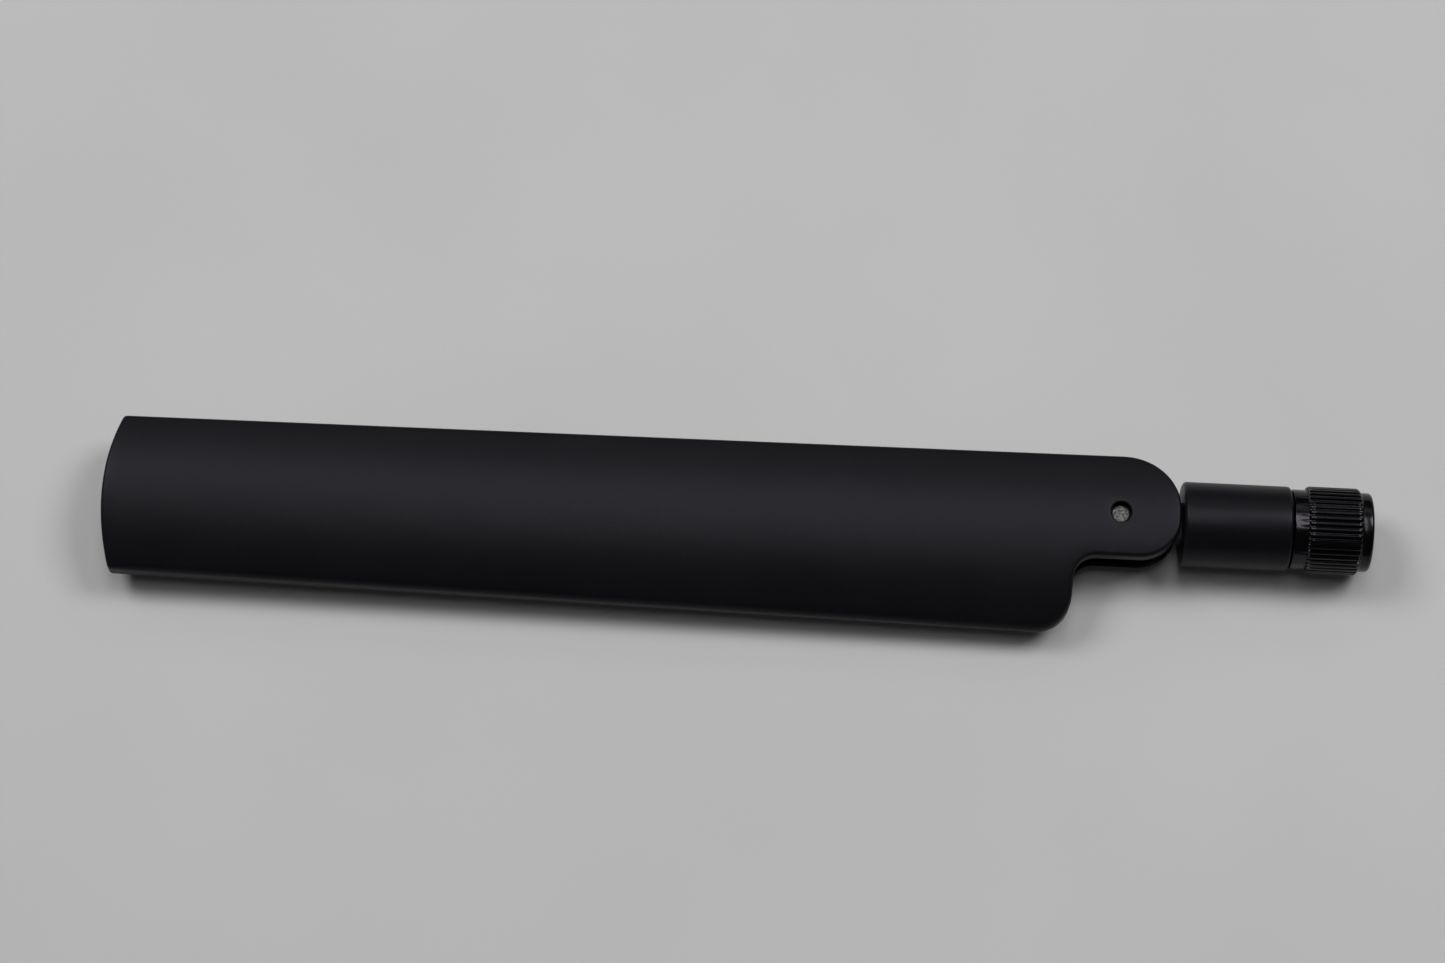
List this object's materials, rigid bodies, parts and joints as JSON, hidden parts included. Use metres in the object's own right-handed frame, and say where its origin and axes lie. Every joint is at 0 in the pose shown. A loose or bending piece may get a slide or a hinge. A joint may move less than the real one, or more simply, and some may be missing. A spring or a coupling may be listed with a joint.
{
  "type": "omnidirectional antenna",
  "caption": "Flat blade antenna on a friction hinge, with a swivelling barrel and a threaded coaxial plug behind a knurled coupling nut.",
  "frame": {"origin": "centre of the plug's reference plane on the connector axis, at the inner end of the coupling nut's thread", "axes": "+X out of the coupling nut's mouth, +Z out of the blade's arched front face; the blade lies on its flat back"},
  "size_m": [0.1593, 0.0224, 0.011],
  "materials": {
    "blade_plastic": "charcoal moulded plastic with a fine sandblasted texture",
    "barrel_plastic": "charcoal moulded plastic, smoother than the blade",
    "black_nickel": "brass with bright black nickel plating",
    "pin_steel": "ground steel with a rough cropped end",
    "spring_steel": "hardened spring wire",
    "washer_acetal": "natural white acetal",
    "ptfe": "white PTFE",
    "contact_gold": "gold-plated contact",
    "ferrule_nickel": "nickel-plated crimp sleeve",
    "coax_jacket": "smooth black jacket",
    "coax_copper": "bare copper",
    "board_laminate": "solder-masked glass-fibre laminate",
    "board_copper": "etched copper with a clear finish",
    "solder": "bright solder",
    "foam": "closed-cell foam rubber",
    "o_ring_rubber": "nitrile rubber",
    "gasket_silicone": "red-brown silicone rubber"
  },
  "bodies": {
    "paddle": {"front_shell": "blade_plastic", "rear_shell": "blade_plastic", "tip_foam_pad": "foam", "root_foam_pad": "foam", "radiator_board": "board_laminate", "upper_dipole_arm": "board_copper", "lower_dipole_arm": "board_copper", "core_solder_joint": "solder", "braid_solder_joint": "solder", "blade_coax": "coax_jacket", "blade_coax_core": "coax_copper", "hinge_pin": "pin_steel", "upper_friction_washer": "washer_acetal", "lower_friction_washer": "washer_acetal"},
    "barrel": {"barrel": "barrel_plastic", "hinge_coax": "coax_jacket"},
    "connector": {"connector_body": "black_nickel", "swivel_o_ring": "o_ring_rubber", "swivel_snap_ring": "spring_steel", "crimp_ferrule": "ferrule_nickel", "tail_coax": "coax_jacket", "tail_coax_core": "ptfe", "contact_insulator": "ptfe", "centre_contact": "contact_gold", "mating_gasket": "gasket_silicone"},
    "nut": {"coupling_nut": "black_nickel", "nut_snap_ring": "spring_steel"}
  },
  "joints": [
    {"name": "blade_fold", "type": "hinge", "parent": "paddle", "child": "barrel", "pos_m": [-0.02905, 0, 0], "axis": [0, 0, -1], "range_deg": [0, 90], "deforming": ["hinge_coax"]},
    {"name": "connector_swivel", "type": "hinge", "parent": "barrel", "child": "connector", "pos_m": [-0.0145, 0, 0], "axis": [1, 0, 0], "range_deg": [-180, 180]},
    {"name": "nut_spin", "type": "hinge", "parent": "connector", "child": "nut", "pos_m": [0, 0, 0], "axis": [1, 0, 0], "continuous": true}
  ]
}
